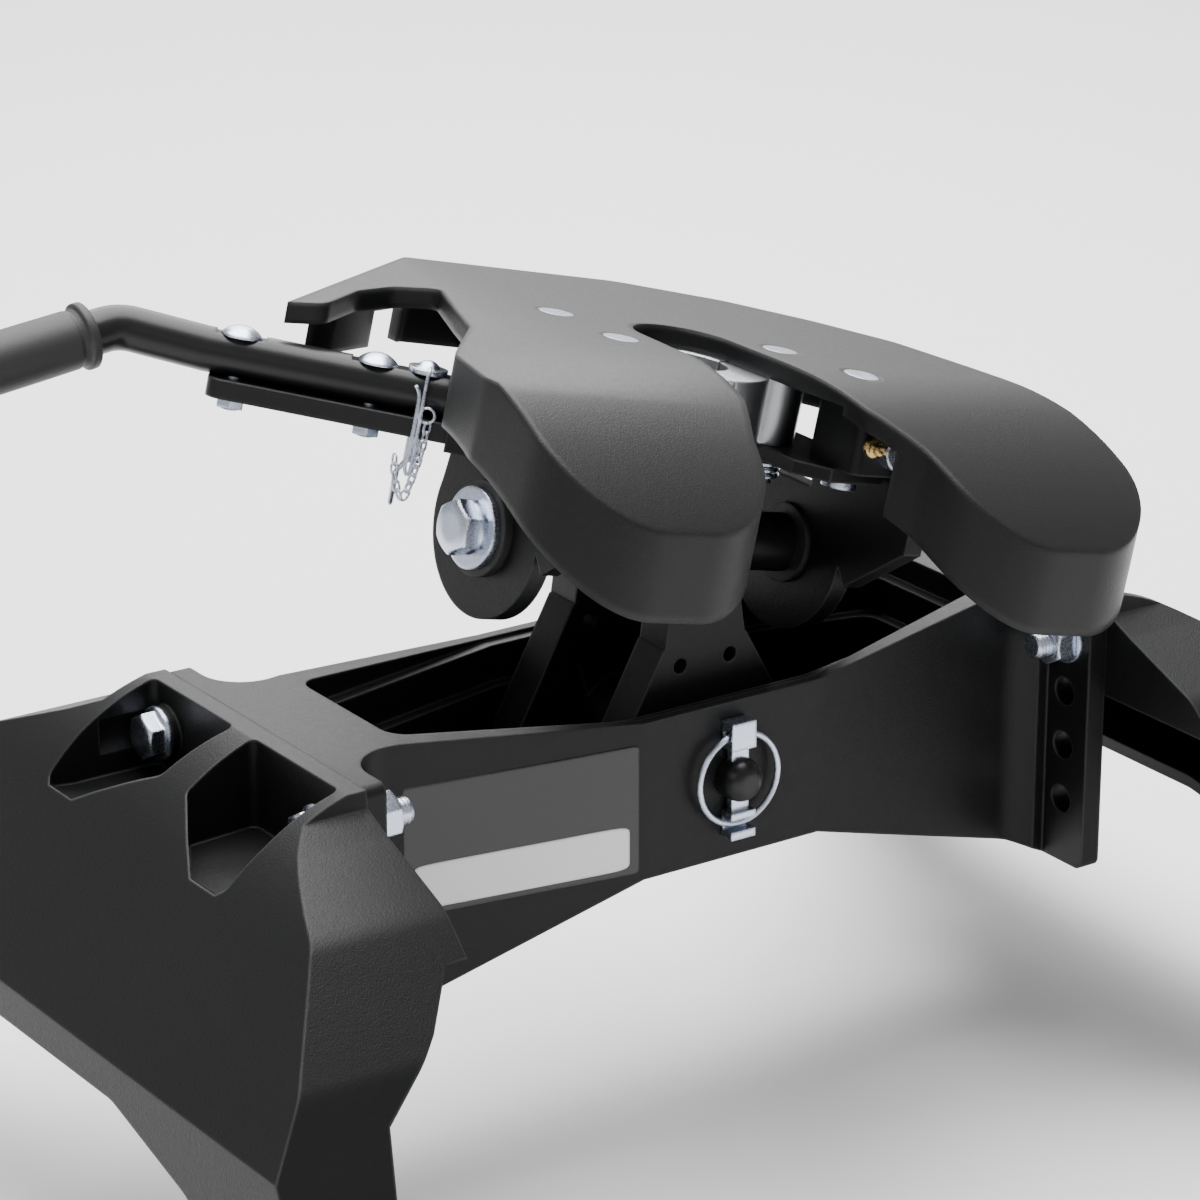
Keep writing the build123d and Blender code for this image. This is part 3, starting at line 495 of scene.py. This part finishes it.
# %% Handle grip
GRIP_WAY = np.array([-0.93, 0.05, -0.36]) / np.linalg.norm([-0.93, 0.05, -0.36])
TURN_U = np.array([math.cos(math.radians(143.0)), math.sin(math.radians(143.0)), 0.0])
TUBE_Z = 64.7
crest = np.array([-138.0, 44.0, 0.0]) + 172.0 * TURN_U + np.array([0.0, 0.0, TUBE_Z + 3.0])
grip_start = crest + GRIP_WAY * 18.0
GRIP_LEN = 118.0
t = np.linspace(0.0, 1.0, 220)
length = t * GRIP_LEN
near_end = np.minimum(length, GRIP_LEN - length)
collar = 0.0024 * np.exp(-((near_end - 3.2) / 3.0) ** 8)
groove = -0.0007 * np.exp(-((near_end - 9.5) / 1.2) ** 4)
barrel = 0.0165 + 0.0005 * np.sin(np.pi * t) + groove + collar
heights = length / 1000
radii = np.concatenate([[0.0127, 0.0155], barrel, [0.0150, 0.0]])
heights = np.concatenate([[0.0, 0.0002], heights, [heights[-1] + 0.0012, heights[-1] + 0.0018]])
sleeve = lathe(head_point(*grip_start), head_way(*GRIP_WAY), np.stack([radii, heights], 1), 96)
build("grip_sleeve", [sleeve], "handle", GRIP, ["handle_grip"], smooth=50.0)

# %% [markdown]
# A long hairpin clip and a short chain hang beside the handle from the lock pin's head, so that
# neither is lost. Both are bent wire: a circle carried along a path. The chain's links are ovals
# turned a quarter each, and each sits inside the next by two wire widths, as real links do.

# %% Wire along a path
def wire(path, radius, normal, closed=False, columns=12):
    """A circle of radius carried along path; normal is a direction no part of the path follows."""
    path = np.asarray(path, float)
    ahead = np.roll(path, -1, 0) - np.roll(path, 1, 0) if closed else np.gradient(path, axis=0)
    ahead /= np.linalg.norm(ahead, axis=1, keepdims=True)
    side = np.cross(ahead, normal)
    side /= np.linalg.norm(side, axis=1, keepdims=True)
    other = np.cross(ahead, side)
    turn = np.linspace(0.0, 2 * np.pi, columns, endpoint=False)[None, :, None]
    sizes = np.full(len(path), radius)
    if not closed:
        path = np.concatenate([path[:1], path, path[-1:]])
        side, other = (np.concatenate([v[:1], v, v[-1:]]) for v in (side, other))
        sizes = np.concatenate([[0.0], sizes, [0.0]])
    ring = side[:, None] * np.cos(turn) + other[:, None] * np.sin(turn)
    return path[:, None] + ring * sizes[:, None, None], closed


def smooth_path(corners, count=160):
    """Catmull-Rom curve through the corners, as an array of points."""
    p = np.asarray(corners, float)
    p = np.concatenate([2 * p[:1] - p[1:2], p, 2 * p[-1:] - p[-2:-1]])
    s = np.linspace(0, len(corners) - 1 - 1e-9, count)
    i, f = s.astype(int), (s % 1.0)[:, None]
    a, b, c, d = p[i], p[i + 1], p[i + 2], p[i + 3]
    square, cube = 2 * a - 5 * b + 4 * c - d, 3 * b - a - 3 * c + d
    return 0.5 * (2 * b + (c - a) * f + square * f ** 2 + cube * f ** 3)


# %% Hairpin clip and chain on the lock pin
def along_handle(s, z, t=0.0):
    """A point s mm out along the handle from the lock pin, t to its left, at height z."""
    across = np.array([-TURN_U[1], TURN_U[0], 0.0])
    x, y, _ = np.array([-138.0, 44.0, 0.0]) + s * TURN_U + t * across
    return head_point(x, y, z)


def bent(corners, count=160):
    """A smooth wire path through corners given as (along, height, out) beside the handle."""
    return smooth_path([along_handle(s, z, t) for s, z, t in corners], count)


SIDE = 17.8
clip_path = bent([(-1.2, 79.6, 8.6), (-1.2, 79.4, 12.0), (-1.2, 75.0, 15.2), (-1.2, 66.0, SIDE),
                  (-1.2, 45.0, SIDE), (-1.2, 25.0, SIDE), (0.4, 20.8, SIDE), (2.1, 25.0, SIDE),
                  (1.4, 36.0, SIDE), (1.3, 58.0, SIDE), (1.8, 66.0, SIDE), (4.4, 70.5, SIDE)])
turn = np.linspace(0.0, 2 * np.pi, 48, endpoint=False)
RING_S, RING_Z, RING_R = -4.6, 55.0, 4.2
ring_path = np.array([along_handle(RING_S + RING_R * math.cos(a), RING_Z + RING_R * math.sin(a), SIDE)
                      for a in turn])
run = bent([(-6.0, 50.6, SIDE + 0.4), (-4.6, 30.0, SIDE + 1.2), (0.2, 8.0, SIDE + 1.2),
            (6.2, 17.0, SIDE + 1.2), (9.2, 33.0, SIDE + 0.6)], 240)
steps = np.concatenate([[0.0], np.cumsum(np.linalg.norm(np.diff(run, axis=0), axis=1))])
LINK_PITCH, LINK_WIDE, LINK_STRAIGHT, LINK_WIRE = 0.0049, 0.0020, 0.0012, 0.0007
loop = np.linspace(0.0, 2 * np.pi, 28, endpoint=False)
stretch = np.sign(np.cos(loop)) * LINK_STRAIGHT + np.cos(loop) * LINK_WIDE
link_parts = []
for index in range(int(steps[-1] / LINK_PITCH)):
    where = (index + 0.5) * LINK_PITCH
    centre = np.array([np.interp(where, steps, run[:, k]) for k in range(3)])
    ahead = np.array([np.interp(where + 0.001, steps, run[:, k]) for k in range(3)]) - centre
    ahead, side, other = frame_axes(ahead)
    wide, flat = (side, other) if index % 2 else (other, side)
    oval = centre + ahead * stretch[:, None] + wide * (np.sin(loop) * LINK_WIDE)[:, None]
    link_parts.append(wire(oval, LINK_WIRE, flat, closed=True, columns=8))
beside = head_way(-TURN_U[1], TURN_U[0], 0.0)
hairpin = [wire(clip_path, 0.0011, head_way(*TURN_U)), wire(ring_path, 0.0008, beside, closed=True)]
build("hanging_hairpin", hairpin, "lock_pin", ZINC, smooth=60.0)
build("lock_pin_chain", link_parts, "lock_pin", ZINC, smooth=60.0)

# %% [markdown]
# A grease fitting is a tiny turned part: hex, neck and a rounded nipple with a check ball. It is
# one lathe profile on the solid's axis, standing in the block beside the throat.

# %% Grease fitting
block = head_point(70, -92, 80)
rear = head_way(0, -1, 0)
profile = [(0, -0.006), (0.0025, -0.006), (0.0025, 0.0), (0.0056, 0.0), (0.0056, 0.0034), (0.0030, 0.0042),
           (0.0024, 0.0056), (0.0024, 0.0066), (0.0033, 0.0078), (0.0033, 0.0088), (0.0022, 0.0098),
           (0.0012, 0.0100), (0.0010, 0.0095), (0, 0.0094)]
build("grease_nipple", [lathe(block, rear, profile, 48)], "head", BRASS, ["grease_fitting"])

# %% [markdown]
# The beam's rear wall carries a dark film panel with a pale strip across its lower part. Both are
# left blank. Each is a thin rounded rectangle: a superellipse outline with a high power, shrunk
# to a line at its middle, so it is closed and has soft corners.

# %% Blank panel on the beam
plate_low, plate_high = (np.array(corner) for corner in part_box("beam_plate"))
wall_a = np.array([plate_low[0], plate_high[1], 0.0])
wall_b = np.array([plate_high[0], plate_low[1], 0.0])
PANEL_SHIFT = -0.0085


def panel(name, width, height, middle_z, lift, thick, coat, corner, replaces=()):
    """Outline (|cos|^(2/n), |sin|^(2/n)) scaled to the panel, in rows from back centre to front."""
    along = (wall_b - wall_a) / np.linalg.norm(wall_b - wall_a)
    out = np.array([along[1], -along[0], 0.0])
    middle = (wall_a + wall_b) / 2 + along * PANEL_SHIFT + np.array([0, 0, middle_z])
    turn = np.linspace(0.0, 2 * np.pi, 240, endpoint=False)
    power = 2.0 / corner
    x = np.sign(np.cos(turn)) * np.abs(np.cos(turn)) ** power * width / 2
    z = np.sign(np.sin(turn)) * np.abs(np.sin(turn)) ** power * height / 2
    front = lift + thick
    rows = [(0.0, lift), (1.0, lift), (1.0, lift + thick * 0.7), (0.994, front), (0.0, front)]
    outline = along * x[:, None] + np.array([0.0, 0.0, 1.0]) * z[:, None]
    grid = np.stack([middle + outline * share + out * depth for share, depth in rows])
    build(name, [(grid, False)], "base", coat, replaces, 1.0)


PLATE_Z = (plate_low[2] + plate_high[2]) / 2
panel("blank_panel", 0.142, 0.076, PLATE_Z, -0.0005, 0.0007, FILM, 60.0, ["beam_plate"])
panel("blank_strip", 0.130, 0.026, PLATE_Z - 0.0215, 0.0001, 0.0004, STRIP, 12.0)
